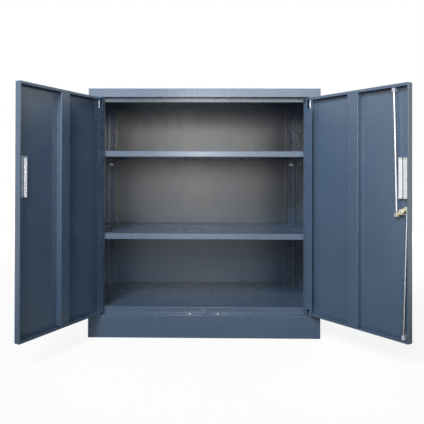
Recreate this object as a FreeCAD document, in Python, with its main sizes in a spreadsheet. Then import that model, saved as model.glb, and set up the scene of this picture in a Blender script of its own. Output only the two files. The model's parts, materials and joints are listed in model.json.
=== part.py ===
import FreeCAD, Part
import Sketcher
import os
import re

# A two-door steel tool cabinet with two shelves, its doors standing open.
# Frame: millimetres, X to the right, Y to the back, Z up. The origin is the
# middle of the front bottom edge: z = 0 is the floor, y = 0 the front face.
#
# Each door is modelled closed, in a frame of its own on the hinge axis, and
# its Placement turns it open. In that frame "s" runs from the hinge axis to
# the free edge, Y goes into the cabinet, and Z is the height over the floor.

FORWARD = FreeCAD.Vector(0, 1, 0)
UPWARD = FreeCAD.Vector(0, 0, 1)
SIDEWAYS = FreeCAD.Vector(1, 0, 0)

# Driving dimensions: name, value, what it is
SIZES = [
    # Case
    ("width", 930, "over the side panels"),
    ("depth", 500, "front face to back face"),
    ("height", 1000, "floor to top"),
    ("gauge", 1, "sheet thickness"),
    ("seam", 0.5, "gap where two pressed pieces meet end to end"),
    ("header_height", 35, "front fold of the top panel"),
    ("stile_width", 26, "front fold of a side panel"),
    ("stop_depth", 28, "front face to the door stops"),
    ("stop_width", 35, "stop flange of a side panel"),
    ("stop_rail_height", 17, "door stop under the header"),
    ("stop_rail_tail", 15, "stiffening fold of that stop"),
    ("rear_fold", 12, "rear flange of a side panel"),
    ("top_rear_fold", 22, "rear flange of the top panel"),
    ("base_fold", 20, "flanges that lie on the floor"),
    ("plinth_height", 91, "floor to the plinth's ledge"),
    ("floor_height", 116, "floor to the bottom board"),
    # Uprights, shelves and clips
    ("upright_gauge", 1.5, "thickness of the slotted channels"),
    ("upright_width", 37, "channel face"),
    ("upright_depth", 38, "rear channel, face to back"),
    ("front_upright_depth", 29, "front channel, stop to face"),
    ("slot_inset", 15, "channel's inner edge to the slots"),
    ("slot_width", 9, "slot across"),
    ("slot_length", 7, "slot upwards"),
    ("slot_pitch", 24, "slot to slot"),
    ("slot_rise", 20, "bottom board to the first slot"),
    ("lower_shelf_count", 10, "slots under the lower shelf's clips"),
    ("upper_shelf_count", 24, "slots under the upper shelf's clips"),
    ("shelf_gap", 2, "shelf to the walls and channels"),
    ("shelf_lip", 24, "shelf's folded edges"),
    ("shelf_return", 12, "lower fold of the front and rear edges"),
    ("clip_gauge", 2, "clip thickness"),
    ("clip_width", 18, "clip across"),
    ("clip_rise", 37, "lower slot to the shelf"),
    ("clip_drop", 14, "lower slot down to the clip's foot"),
    ("clip_ledge", 22, "clip's seat for the shelf"),
    ("clip_foot", 14, "clip's lower fold"),
    ("clip_hook", 4, "hook through the slot"),
    ("clip_play", 0.3, "hook to the slot's edges"),
    # Hinges
    ("hinge_inset", 40, "side face to the hinge axis"),
    ("hinge_depth", 7, "front face to the hinge axis"),
    ("pin_diameter", 7, "hinge pins"),
    ("pin_play", 0.05, "pin to bush, radial"),
    ("bush_diameter", 11, "bush in the ledge"),
    ("bush_flange", 15, "bush flange across"),
    ("bush_flange_height", 1, "bush flange thickness"),
    ("bush_length", 5, "bush through and past the ledge"),
    ("bush_play", 0.1, "bush to its hole, radial"),
    # Doors
    ("door_thickness", 23, "front face to inner lips"),
    ("door_high_gap", 3, "door to header"),
    ("door_low_gap", 5, "door to plinth ledge"),
    ("hinge_gap", 2.5, "door to stile"),
    ("centre_gap", 3, "door to door"),
    ("door_lip", 10, "upper and lower lips"),
    ("free_lip", 5, "lip along the free edge"),
    ("hinge_lip", 35, "lip along the hinge edge"),
    ("left_open_angle", 118.8, "left door's opening"),
    ("right_open_angle", 126, "right door's opening"),
    ("stiffener_place", 185, "hinge axis to the stiffener"),
    ("stiffener_width", 46, "stiffener's face"),
    ("stiffener_flange", 22, "stiffener's welded flanges"),
    ("window_place", 1, "hinge axis back to the windows' edge"),
    ("window_width", 20.5, "windows across"),
    ("window_height", 37, "upper window upwards"),
    ("window_drop", 6, "door top to the upper window"),
    ("low_window_height", 19, "lower window upwards"),
    ("low_window_rise", 3, "door bottom to the lower window"),
    ("lip_hole_diameter", 5, "round hole under the upper window"),
    ("lip_hole_drop", 6, "window to that hole"),
    # Hinge bolts and lower pins
    ("bolt_travel", 12, "how far a hinge bolt draws down to clear its bush"),
    ("bolt_knob_diameter", 9, "ball grip on the bolt"),
    ("bolt_knob_drop", 36, "door top to the ball's centre"),
    ("bolt_collar_height", 2, "collar under the ball"),
    ("bolt_stem_diameter", 4, "stem inside the spring"),
    ("bolt_stem_tail", 14, "stem below the bracket"),
    ("bolt_play", 0.2, "bolt to door and bracket, radial"),
    ("spring_wall", 1.6, "hinge spring's wall"),
    ("spring_length", 23, "hinge spring, as it stands"),
    ("bracket_gauge", 2, "bracket and pin plate thickness"),
    ("bracket_width", 21, "bracket and pin plate across"),
    ("bracket_tab", 28, "bracket's welded tab"),
    ("bracket_gap", 1, "bracket to hinge wall and lip"),
    ("pin_grip", 13, "lower pin above the pin plate"),
    ("pin_reach", 7, "lower pin below the ledge's upper face"),
    ("pin_shoulder_diameter", 12, "shoulder that carries the door"),
    ("pin_shoulder_gap", 0.3, "shoulder to bush flange"),
    # Handles
    ("handle_inset", 10.5, "free edge to the handle"),
    ("handle_width", 32.5, "handle cup across"),
    ("handle_length", 140, "handle cup upwards"),
    ("handle_over_lock", 43, "lock's axis up to the handle cup"),
    ("handle_depth", 12, "door face to the cup's back"),
    ("handle_wall", 1.5, "cup walls"),
    ("handle_back", 3, "cup's back"),
    ("handle_rim", 4, "rim over the door's face"),
    ("handle_rim_height", 1.5, "rim's thickness"),
    ("handle_grip", 8, "rim over the cup, as a finger pull"),
    ("handle_groove_place", 15.2, "cup's hinge side to the groove's middle"),
    ("handle_groove_width", 3.6, "groove in the cup's back"),
    ("handle_groove_depth", 2, "depth of that groove"),
    ("handle_groove_end", 6, "cup end to groove end"),
    ("handle_play", 0.3, "cup to its cut-out"),
    # Lock
    ("lock_inset", 28, "free edge to the lock's axis"),
    ("lock_height", 531, "floor to the lock's axis"),
    ("lock_body_diameter", 18, "lock body"),
    ("lock_body_length", 16, "door face to the body's end"),
    ("lock_rim_diameter", 23, "rim on the door's face"),
    ("lock_rim_height", 2, "rim's thickness"),
    ("lock_play", 0.1, "body to door and nut, radial"),
    ("lock_nut_diameter", 26, "nut over its corners"),
    ("lock_nut_height", 3, "nut thickness"),
    ("plug_diameter", 12, "turning plug"),
    ("plug_play", 0.06, "plug to body, radial"),
    ("plug_square", 8, "plug's drive square"),
    ("plug_square_height", 1.6, "drive square's length"),
    ("keyway_width", 1.6, "keyway across"),
    ("keyway_height", 7, "keyway upwards"),
    ("keyway_depth", 6, "keyway's depth"),
    ("cam_depth", 19, "door face to the cam"),
    ("cam_gauge", 2, "cam thickness"),
    ("cam_radius", 20.5, "lock axis to a cam stud"),
    ("cam_arm_width", 11, "cam arm across"),
    ("cam_hub_diameter", 20, "cam hub"),
    ("cam_turn_angle", 66, "how far the cam turns"),
    ("cam_play", 0.1, "drive square to cam"),
    ("stud_diameter", 5, "cam studs"),
    ("stud_head_diameter", 7, "riveted stud heads"),
    ("stud_head_height", 0.6, "their thickness"),
    ("screw_diameter", 4, "cam screw"),
    ("screw_length", 7, "cam screw into the plug"),
    ("screw_head_diameter", 12, "cam screw's head"),
    ("screw_head_height", 3, "its thickness"),
    ("screw_play", 0.1, "screw to its hole, radial"),
    ("screw_slot_width", 1.5, "screwdriver slot"),
    # Locking rods
    ("rod_depth", 15, "door face to the rods' axes"),
    ("rod_diameter", 7, "rods"),
    ("rod_end_gap", 1, "rod ends to the door's end walls"),
    ("rod_hole_play", 1.5, "rod to the holes that it enters"),
    ("eye_width", 15, "slotted rod end across"),
    ("eye_low", 6.5, "eye below its slot's centre"),
    ("eye_high", 8, "eye above its slot's centre"),
    ("eye_gauge", 2.5, "eye thickness"),
    ("eye_lift", 0.5, "rod axis to the eye"),
    ("eye_play", 0.8, "stud to its slot"),
    ("rod_start", 5, "slot's centre to the round rod"),
    ("guide_width", 11, "nylon guides across"),
    ("guide_height", 15, "guides upwards"),
    ("guide_thickness", 19, "door skin to the guides' face"),
    ("guide_play", 0.4, "rod to guide, radial"),
    ("guide_gap", 9.5, "door's end to a guide"),
    ("upper_guide_inset", 56.8, "free edge to the upper guide"),
    ("lower_guide_inset", 21.7, "free edge to the lower guide"),
    ("lower_strike_length", 17, "slot in the plinth ledge for the lower rod"),
    # Small pieces on the plinth
    ("rest_place", 57, "middle of the cabinet to a door rest"),
    ("rest_depth", 20, "front face to a door rest"),
    ("rest_diameter", 9, "door rests"),
    ("rest_height", 3, "door rests above the ledge"),
    ("rest_stem_diameter", 4, "stem through the ledge"),
    ("rest_stem_length", 4, "stem below the ledge's upper face"),
    ("rest_play", 0.1, "stem to its hole, radial"),
    ("buffer_width", 20, "middle buffer across"),
    ("buffer_height", 18, "middle buffer upwards"),
    ("buffer_thickness", 2, "middle buffer"),
    # Tools
    ("overrun", 5, "how far cuts run past what they cut"),
]

# Sizes and places that follow from the driving ones
WORKED_OUT = {
    "half_width": "width / 2",
    "wall_in": "half_width - gauge",
    "stile_in": "half_width - stile_width",
    "stop_in": "stile_in - stop_width",
    "stop_back": "stop_depth + gauge",
    "header_low": "height - header_height",
    "top_low": "height - gauge",
    "back_in": "depth - gauge",
    "rear_in": "depth - 2 * gauge",
    "upright_in": "wall_in - upright_width",
    "slot_x": "upright_in + slot_inset",
    "rear_upright_face": "rear_in - upright_depth",
    "front_upright_face": "stop_back + front_upright_depth",
    "first_slot": "floor_height + slot_rise",
    "slot_count": "floor((top_low - first_slot) / slot_pitch)",
    "shelf_front": "stop_back + shelf_gap / 2",
    "shelf_rear": "rear_in - shelf_gap / 2",
    "hinge_x": "half_width - hinge_inset",
    "pin_radius": "pin_diameter / 2",
    # In a door's frame
    "face": "-hinge_depth",
    "skin_in": "gauge - hinge_depth",
    "lip_plane": "door_thickness - hinge_depth",
    "lip_in": "lip_plane - gauge",
    "door_low": "plinth_height + door_low_gap",
    "door_high": "header_low - door_high_gap",
    "free_edge": "hinge_x - centre_gap / 2",
    "hinge_edge": "hinge_x + hinge_gap - stile_in",
    "window_low": "door_high - window_drop - window_height",
    "knob_z": "door_high - bolt_knob_drop",
    "collar_low": "knob_z - bolt_knob_diameter / 2 - bolt_collar_height / 4",
    "bracket_high": "collar_low - spring_length",
    "bracket_start": "hinge_edge + gauge + bracket_gap",
    "pin_plate_low": "door_low + gauge",
    "handle_rise": "lock_height + handle_over_lock",
    "handle_out": "free_edge - handle_inset",
    "handle_start": "handle_out - handle_width",
    "handle_high": "handle_rise + handle_length",
    "handle_plane": "face + handle_depth",
    "lock_s": "free_edge - lock_inset",
    "cam_plane": "face + cam_depth",
    "rod_plane": "face + rod_depth",
    "rod_radius": "rod_diameter / 2",
    "cam_drop": "cam_radius * sin(cam_turn_angle / 2)",
    "cam_reach": "cam_radius * (1 + cos(cam_turn_angle / 2)) / 2",
    "slot_travel": "cam_radius * (1 - cos(cam_turn_angle / 2))",
    "upper_eye_s": "lock_s - cam_reach",
    "upper_eye_z": "lock_height - cam_drop",
    "lower_eye_s": "lock_s + cam_reach",
    "lower_eye_z": "lock_height + cam_drop",
    "upper_guide_s": "free_edge - upper_guide_inset",
    "lower_guide_s": "free_edge - lower_guide_inset",
    "upper_guide_z": "door_high - guide_gap - guide_height / 2",
    "lower_guide_z": "door_low + guide_gap + guide_height / 2",
    "upper_slope": "(upper_eye_s - upper_guide_s) / (upper_guide_z - upper_eye_z)",
    "lower_slope": "(lower_eye_s - lower_guide_s) / (lower_eye_z - lower_guide_z)",
    "upper_lean": "atan(upper_slope)",
    "lower_lean": "180 deg - atan(lower_slope)",
    "upper_rod_length": "(door_high - gauge - rod_end_gap - upper_eye_z) / cos(atan(upper_slope))",
    "lower_rod_length": "(lower_eye_z - door_low - gauge - rod_end_gap) / cos(atan(lower_slope))",
    "upper_strike_x": "hinge_x - upper_guide_s + (header_low - upper_guide_z) * upper_slope",
    "lower_strike_x": "hinge_x - lower_guide_s + (lower_guide_z - plinth_height) * lower_slope",
    "strike_y": "hinge_depth + rod_plane",
}

doc = FreeCAD.newDocument("tool_cabinet")
sheet = doc.addObject("Spreadsheet::Sheet", "Sizes")
for row, (alias, value, meaning) in enumerate(SIZES, start=1):
    sheet.set("A%d" % row, alias)
    sheet.set("B%d" % row, str(value))
    sheet.set("C%d" % row, meaning)
    sheet.setAlias("B%d" % row, alias)
doc.recompute()

DRIVING = {alias for alias, value, meaning in SIZES}
sub_parts = []


# Expressions

def spelled(text):
    """Turn sizes named in words into an expression of the sheet's cells."""
    def one_word(found):
        word = found.group(0)
        if word in WORKED_OUT:
            return "(" + spelled(WORKED_OUT[word]) + ")"
        if word in DRIVING:
            return "Sizes." + word
        return word
    return re.sub(r"[a-z_]+", one_word, text)


def bind(thing, **properties):
    """Bind properties such as Length or Placement.Base.x (Base_x here)."""
    for name, text in properties.items():
        path = name
        if name.startswith("Base_"):
            path = "Placement.Base." + name[-1]
        if name == "Turn":
            path = "Placement.Rotation.Angle"
        thing.setExpression(path, spelled(str(text)))
    return thing


def add(kind, **properties):
    return bind(doc.addObject(kind, kind.split(":")[-1]), **properties)


def aim(thing, axis, angle=1):
    """Give a thing the axis that it turns about."""
    thing.Placement = FreeCAD.Placement(FreeCAD.Vector(), FreeCAD.Rotation(axis, angle))
    return thing


# Solids, each from its own bounds. A flip of -1 mirrors a place left to right.

ZERO = "0 * gauge"
ON_AXIS = (ZERO, ZERO)


def span(low, high, flip):
    """Where a stretch starts, mirrored for a flip of -1."""
    return "%s" % low if flip > 0 else "-(%s)" % high


def stretch(start, way, size):
    """The two ends of a stretch from a place, up for a way of 1, down for -1."""
    return (start, "%s + %s" % (start, size)) if way > 0 else ("%s - %s" % (start, size), start)


def block(x0, x1, y0, y1, z0, z1, flip=1):
    """A box between two places along each axis."""
    return add("Part::Box",
               Length="(%s) - (%s)" % (x1, x0),
               Width="(%s) - (%s)" % (y1, y0),
               Height="(%s) - (%s)" % (z1, z0),
               Base_x=span(x0, x1, flip), Base_y=y0, Base_z=z0)


def round_up(x, y, z0, z1, diameter, flip=1):
    """A round bar that stands upright."""
    return add("Part::Cylinder",
               Radius="(%s) / 2" % diameter,
               Height="(%s) - (%s)" % (z1, z0),
               Base_x=span(x, x, flip), Base_y=y, Base_z=z0)


def round_in(x, y0, y1, z, diameter, flip=1):
    """A round bar that points into the cabinet."""
    bar = aim(add("Part::Cylinder"), SIDEWAYS, -90)
    return bind(bar,
                Radius="(%s) / 2" % diameter,
                Height="(%s) - (%s)" % (y1, y0),
                Base_x=span(x, x, flip), Base_y=y0, Base_z=z)


def ball(z, diameter):
    """A ball on the hinge axis."""
    return add("Part::Sphere", Radius="(%s) / 2" % diameter, Base_z=z)


def joined(*solids):
    whole = doc.addObject("Part::MultiFuse", "Joined")
    whole.Shapes = list(solids)
    whole.Refine = True
    return whole


def group(*solids):
    whole = doc.addObject("Part::Compound", "Group")
    whole.Links = list(solids)
    return whole


def without(base, *tools):
    """The base with every tool cut away."""
    rest = doc.addObject("Part::Cut", "Without")
    rest.Base = base
    rest.Tool = tools[0] if len(tools) == 1 else group(*tools)
    rest.Refine = True
    return rest


def sub_part(label, thing):
    """Name a finished sub-part."""
    thing.Label = label
    sub_parts.append(thing)
    return thing


# Case

SIDES = (("left", -1), ("right", 1))


def side_panel(name, flip):
    """One folded sheet: stile, return and door stop in front, a flange at the back."""
    wall = block("wall_in", "half_width", 0, "depth", 0, "header_low", flip)
    wall_top = block("wall_in", "half_width", "gauge", "depth", "header_low", "top_low", flip)
    stile = block("stile_in", "half_width", 0, "gauge", 0, "header_low", flip)
    stile_return = block("stile_in", "stile_in + gauge", 0, "stop_back", 0, "header_low", flip)
    stop = block("stop_in", "stile_in + gauge", "stop_depth", "stop_back", 0, "header_low", flip)
    rear = block("half_width - rear_fold", "half_width", "rear_in", "back_in", 0, "top_low", flip)
    foot = block("wall_in - base_fold", "wall_in", "stop_back", "rear_in", 0, "gauge", flip)
    sub_part("side_panel_" + name, joined(wall, wall_top, stile, stile_return, stop, rear, foot))


def back_panel():
    sheet_metal = block("-wall_in", "wall_in", "back_in", "depth", 0, "top_low")
    sub_part("back_panel", group(sheet_metal))


def ledge_hole(z0, z1, flip):
    """The hole that a hinge bush sits in."""
    return round_up("hinge_x", "hinge_depth", z0, z1, "bush_diameter + 2 * bush_play", flip)


def top_panel():
    """The top, its header and the ledge that carries the upper hinges."""
    top = block("-half_width", "half_width", 0, "depth", "top_low", "height")
    header = block("-half_width", "half_width", 0, "gauge", "header_low", "height")
    edge = "stile_in + gauge"
    ledge = block("-(%s)" % edge, edge, 0, "stop_back", "header_low", "header_low + gauge")
    rear_end = "half_width - rear_fold - seam"
    rear = block("-(%s)" % rear_end, rear_end, "rear_in", "back_in", "height - top_rear_fold", "height")
    low, high = "header_low - overrun", "header_low + overrun"
    holes = [ledge_hole(low, high, flip) for name, flip in SIDES]
    strike = round_up("upper_strike_x", "strike_y", low, high, "rod_diameter + 2 * rod_hole_play")
    sub_part("top_panel", without(joined(top, header, ledge, rear), strike, *holes))


def top_stop_rail():
    end = "stop_in - seam"
    low = "header_low - stop_rail_height"
    front = block("-(%s)" % end, end, "stop_depth", "stop_back", low, "header_low")
    tail = block("-(%s)" % end, end, "stop_depth", "stop_depth + stop_rail_tail", low, low + " + gauge")
    sub_part("top_stop_rail", joined(front, tail))


def plinth():
    """The kick plate, with its ledge for the lower hinges and its foot."""
    low = "plinth_height - gauge"
    front = block("-stile_in", "stile_in", 0, "gauge", 0, "plinth_height")
    ledge = block("-stile_in", "stile_in", 0, "stop_depth", low, "plinth_height")
    ledge_end = "stop_in - seam"
    ledge_tail = block("-(%s)" % ledge_end, ledge_end, 0, "stop_back", low, "plinth_height")
    foot = block("-stile_in", "stile_in", 0, "base_fold", 0, "gauge")
    z0, z1 = "plinth_height - overrun", "plinth_height + overrun"
    holes = [ledge_hole(z0, z1, flip) for name, flip in SIDES]
    for name, flip in SIDES:
        holes.append(round_up("rest_place", "rest_depth", z0, z1,
                              "rest_stem_diameter + 2 * rest_play", flip))
    half_slot = "lower_strike_length / 2"
    half_across = "rod_radius + rod_hole_play"
    strike = block("lower_strike_x - " + half_slot, "lower_strike_x + " + half_slot,
                   "strike_y - (%s)" % half_across, "strike_y + (%s)" % half_across, z0, z1)
    sub_part("plinth", without(joined(front, ledge, ledge_tail, foot), strike, *holes))


def floor_pan():
    """The bottom board: an upturned tray whose front lip stops the doors."""
    low = "floor_height - gauge"
    board = block("-wall_in", "wall_in", "stop_back", "rear_in", low, "floor_height")
    lip_end = "stop_in - seam"
    lip = block("-(%s)" % lip_end, lip_end, "stop_depth", "stop_back", "plinth_height", "floor_height")
    front = block("-(%s)" % lip_end, lip_end, "stop_depth", "rear_in", low, "floor_height")
    rear = block("-wall_in", "wall_in", "rear_in - gauge", "rear_in", "plinth_height", "floor_height")
    edges = [block("wall_in - gauge", "wall_in", "stop_back", "rear_in",
                   "plinth_height", "floor_height", flip) for name, flip in SIDES]
    sub_part("floor_pan", joined(board, lip, front, rear, *edges))


# Slotted uprights: a channel pad, one slot, and a pattern of slots

def origin_feature(body, role):
    return [item for item in body.Origin.OriginFeatures if item.Role == role][0]


def sketch(body, role, corners):
    """A closed outline through corners, each held by two bound dimensions."""
    drawing = body.newObject("Sketcher::SketchObject", "Outline")
    drawing.AttachmentSupport = [(origin_feature(body, role), "")]
    drawing.MapMode = "FlatFace"
    places = [FreeCAD.Vector(worth(across), worth(up), 0) for across, up in corners]
    count = len(places)
    for index in range(count):
        drawing.addGeometry(Part.LineSegment(places[index], places[(index + 1) % count]), False)
    for index in range(count):
        drawing.addConstraint(Sketcher.Constraint("Coincident", index, 2, (index + 1) % count, 1))
    for index, (across, up) in enumerate(corners):
        for kind, text, value in (("DistanceX", across, places[index].x),
                                  ("DistanceY", up, places[index].y)):
            number = drawing.addConstraint(Sketcher.Constraint(kind, -1, 1, index, 1, value))
            drawing.setExpression("Constraints[%d]" % number, spelled(text))
    return drawing


def worth(text):
    """The present value of an expression."""
    return float(sheet.evalExpression(spelled(text)))


def upright(label, side, face, depth, turn):
    """A channel whose slotted face looks along -Y before its half turn."""
    body = doc.addObject("PartDesign::Body", "Upright")
    mirror = -side if turn else side
    sign = "" if mirror > 0 else "-"
    across = sign + "(%s)"
    inner, outer = across % "upright_in", across % "wall_in"
    inner_leg = across % "upright_in + upright_gauge"
    outer_leg = across % "wall_in - upright_gauge"
    corners = [(inner, ZERO), (outer, ZERO), (outer, depth), (outer_leg, depth),
               (outer_leg, "upright_gauge"), (inner_leg, "upright_gauge"),
               (inner_leg, depth), (inner, depth)]
    pad = body.newObject("PartDesign::Pad", "Channel")
    pad.Profile = sketch(body, "XY_Plane", corners)
    bind(pad, Length="top_low - floor_height")
    doc.recompute()
    half = "slot_width / 2"
    left, right = across % ("slot_x - " + half), across % ("slot_x + " + half)
    low, high = "slot_rise - slot_length / 2", "slot_rise + slot_length / 2"
    pocket = body.newObject("PartDesign::Pocket", "Slot")
    pocket.Profile = sketch(body, "XZ_Plane", [(left, low), (right, low), (right, high), (left, high)])
    pocket.Midplane = True
    bind(pocket, Length="4 * upright_gauge")
    pattern = body.newObject("PartDesign::LinearPattern", "Slots")
    pattern.Originals = [pocket]
    pattern.Direction = (origin_feature(body, "Z_Axis"), [""])
    bind(pattern, Length="slot_pitch * (slot_count - 1)", Occurrences="slot_count")
    body.Tip = pattern
    aim(body, UPWARD, 180 if turn else 0)
    bind(body, Base_y=face, Base_z="floor_height")
    sub_part(label, body)


# Shelves and clips

def shelf(label, count):
    """A tray turned down at its edges and notched round the four channels."""
    high = "first_slot + slot_pitch * %s + clip_rise + gauge" % count
    low = high + " - gauge"
    lip = high + " - shelf_lip"
    wide = "wall_in - shelf_gap"
    narrow = "upright_in - shelf_gap"
    front = "front_upright_face + shelf_gap"
    rear = "rear_upright_face - shelf_gap"
    board = block("-(%s)" % wide, wide, front, rear, low, high)
    tongue = block("-(%s)" % narrow, narrow, "shelf_front", "shelf_rear", low, high)
    edges = [block(wide + " - gauge", wide, front, rear, lip, high, flip) for name, flip in SIDES]
    for start, way in (("shelf_front", 1), ("shelf_rear", -1)):
        edges.append(block("-(%s)" % narrow, narrow, *stretch(start, way, "gauge"), lip, high))
        edges.append(block("-(%s)" % narrow, narrow, *stretch(start, way, "shelf_return"),
                           lip, lip + " + gauge"))
    sub_part(label, joined(board, tongue, *edges))


def shelf_clip(side, face, count, turn):
    """A folded clip, hooked into two slots, that a shelf's corner sits on."""
    half = "clip_width / 2"
    plate = block("-" + half, half, 0, "clip_gauge", "-clip_drop", "clip_rise")
    ledge = block("-" + half, half, 0, "clip_ledge", "clip_rise - clip_gauge", "clip_rise")
    foot = block("-" + half, half, 0, "clip_foot", "-clip_drop", "clip_gauge - clip_drop")
    half_hook = "(slot_width / 2 - clip_play)"
    hooks = []
    for step in ("0 * slot_pitch", "slot_pitch"):
        low, high = step + " - slot_length / 2 + clip_play", step + " + slot_length / 2 - clip_play"
        hooks.append(block("-" + half_hook, half_hook, "-clip_hook", "clip_gauge", low, high))
    clip = aim(joined(plate, ledge, foot, *hooks), UPWARD, 180 if turn else 0)
    return bind(clip, Base_x=span("slot_x", "slot_x", side), Base_y=face,
                Base_z="first_slot + slot_pitch * " + count)


def shelf_clips(label, count):
    clips = []
    for name, side in SIDES:
        clips.append(shelf_clip(side, "front_upright_face", count, False))
        clips.append(shelf_clip(side, "rear_upright_face", count, True))
    sub_part(label, group(*clips))


# Hinge bushes and the small pieces on the plinth

def hinge_bushes():
    """Flanged bushes in the two ledges, two above and two below."""
    bushes = []
    for name, flip in SIDES:
        for plane, way in (("header_low", 1), ("plinth_height", -1)):
            tube = round_up("hinge_x", "hinge_depth", *stretch(plane, way, "bush_length"),
                            "bush_diameter", flip)
            disc = round_up("hinge_x", "hinge_depth", *stretch(plane, -way, "bush_flange_height"),
                            "bush_flange", flip)
            bore = round_up("hinge_x", "hinge_depth", plane + " - 2 * bush_length",
                            plane + " + 2 * bush_length", "pin_diameter + 2 * pin_play", flip)
            bushes.append(without(joined(tube, disc), bore))
    sub_part("hinge_bushes", group(*bushes))


def door_rests():
    """Two low buttons on the plinth's ledge that the closing doors ride over."""
    rests = []
    for name, flip in SIDES:
        head = round_up("rest_place", "rest_depth", "plinth_height",
                        "plinth_height + rest_height / 2", "rest_diameter", flip)
        crown = add("Part::Cone", Radius1="rest_diameter / 2", Radius2="rest_diameter / 4",
                    Height="rest_height / 2", Base_x=span("rest_place", "rest_place", flip),
                    Base_y="rest_depth", Base_z="plinth_height + rest_height / 2")
        stem = round_up("rest_place", "rest_depth", "plinth_height - rest_stem_length",
                        "plinth_height", "rest_stem_diameter", flip)
        rests.append(joined(head, crown, stem))
    sub_part("door_rests", group(*rests))


def centre_buffer():
    """A small pad in the middle of the lower door stop."""
    half = "buffer_width / 2"
    middle = "(plinth_height + floor_height) / 2"
    pad = block("-" + half, half, "stop_depth - buffer_thickness", "stop_depth",
                middle + " - buffer_height / 2", middle + " + buffer_height / 2")
    sub_part("centre_buffer", group(pad))


# Doors. Their pieces are hung on the hinge axis and turned open.

def hang(label, flip, thing):
    """Place a piece of a door, modelled closed on the hinge axis."""
    name = "left" if flip > 0 else "right"
    aim(thing, UPWARD)
    bind(thing,
         Base_x=span("hinge_x", "hinge_x", -flip),
         Base_y="hinge_depth",
         Turn="-left_open_angle" if flip > 0 else "right_open_angle")
    sub_part(label.replace("SIDE", name), thing)


def door_panel(flip):
    """A pressed tray: skin, four folded walls and the lips inside them."""
    def wall(s0, s1, z0, z1):
        return block(s0, s1, "face", "lip_plane", z0, z1, flip)

    def lip(s0, s1, z0, z1):
        return block(s0, s1, "lip_in", "lip_plane", z0, z1, flip)

    edges = ("hinge_edge", "free_edge", "door_low", "door_high")
    skin = block("hinge_edge", "free_edge", "face", "skin_in", "door_low", "door_high", flip)
    walls = [wall("hinge_edge", "hinge_edge + gauge", *edges[2:]),
             wall("free_edge - gauge", "free_edge", *edges[2:]),
             wall(*edges[:2], "door_low", "door_low + gauge"),
             wall(*edges[:2], "door_high - gauge", "door_high")]
    lips = [lip("hinge_edge", "hinge_edge + hinge_lip", *edges[2:]),
            lip("free_edge - free_lip", "free_edge", *edges[2:]),
            lip(*edges[:2], "door_low", "door_low + door_lip"),
            lip(*edges[:2], "door_high - door_lip", "door_high")]
    return joined(skin, *walls, *lips)


def lip_window(z0, z1, flip):
    return block("-window_place", "window_width - window_place", "lip_in - gauge",
                 "lip_plane + overrun", z0, z1, flip)


def door_cuts(flip):
    """Windows over the hinge pins, pin holes and the handle's cut-out."""
    window_middle = "window_width / 2 - window_place"
    return [
        lip_window("window_low", "window_low + window_height", flip),
        lip_window("door_low + low_window_rise",
                   "door_low + low_window_rise + low_window_height", flip),
        round_in(window_middle, "lip_in - gauge", "lip_plane + overrun",
                 "window_low - lip_hole_drop", "lip_hole_diameter", flip),
        round_up(*ON_AXIS, "door_high - 2 * gauge", "door_high + overrun",
                 "pin_diameter + 2 * bolt_play"),
        round_up(*ON_AXIS, "door_low - overrun", "door_low + 2 * gauge",
                 "pin_diameter + 2 * bolt_play"),
        block("handle_start - handle_play", "handle_out + handle_play",
              "face - overrun", "skin_in + gauge",
              "handle_rise - handle_play", "handle_high + handle_play", flip),
    ]


def door_stiffener(flip):
    """A hat-shaped rib, its face level with the door's lips."""
    end = "stiffener_place + stiffener_width"
    low, high = "door_low + door_lip + seam", "door_high - door_lip - seam"
    face = block("stiffener_place", end, "lip_in", "lip_plane", low, high, flip)
    walls = [block(s0, s1, "skin_in", "lip_plane", low, high, flip)
             for s0, s1 in (("stiffener_place", "stiffener_place + gauge"), (end + " - gauge", end))]
    flanges = [block(s0, s1, "skin_in", "skin_in + gauge", low, high, flip)
               for s0, s1 in (("stiffener_place - stiffener_flange", "stiffener_place + gauge"),
                              (end + " - gauge", end + " + stiffener_flange"))]
    hang("SIDE_door_stiffener", flip, joined(face, *walls, *flanges))


def bolt_bracket(flip):
    """The angle, welded to the skin, that the hinge bolt's stem runs through."""
    end = "bracket_start + bracket_width"
    low = "bracket_high - bracket_gauge"
    shelf_plate = block("bracket_start", end, "skin_in", "lip_in - bracket_gap", low, "bracket_high", flip)
    tab = block("bracket_start", end, "skin_in", "skin_in + bracket_gauge",
                "bracket_high - bracket_tab", "bracket_high", flip)
    hole = round_up(*ON_AXIS, low + " - overrun", "bracket_high + overrun",
                    "bolt_stem_diameter + 2 * bolt_play")
    hang("SIDE_bolt_bracket", flip, without(joined(shelf_plate, tab), hole))


def hinge_bolt(flip):
    """The sprung upper hinge pin, with a ball to draw it down by."""
    pin = round_up(*ON_AXIS, "knob_z", "header_low - 2 * bush_flange_height + bolt_travel", "pin_diameter")
    knob = ball("knob_z", "bolt_knob_diameter")
    collar = round_up(*ON_AXIS, "collar_low", "collar_low + bolt_collar_height", "bolt_knob_diameter")
    tail = "bracket_high - bracket_gauge - bolt_stem_tail"
    stem = round_up(*ON_AXIS, tail, "knob_z", "bolt_stem_diameter")
    hang("SIDE_hinge_bolt", flip, joined(pin, knob, collar, stem))


def bolt_spring(flip):
    """The space that the bolt's spring fills, from the bracket to the collar."""
    inner = "bolt_stem_diameter + 4 * bolt_play"
    outside = round_up(*ON_AXIS, "bracket_high", "collar_low", inner + " + 2 * spring_wall")
    inside = round_up(*ON_AXIS, "bracket_high - overrun", "collar_low + overrun", inner)
    hang("SIDE_bolt_spring", flip, without(outside, inside))


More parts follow.
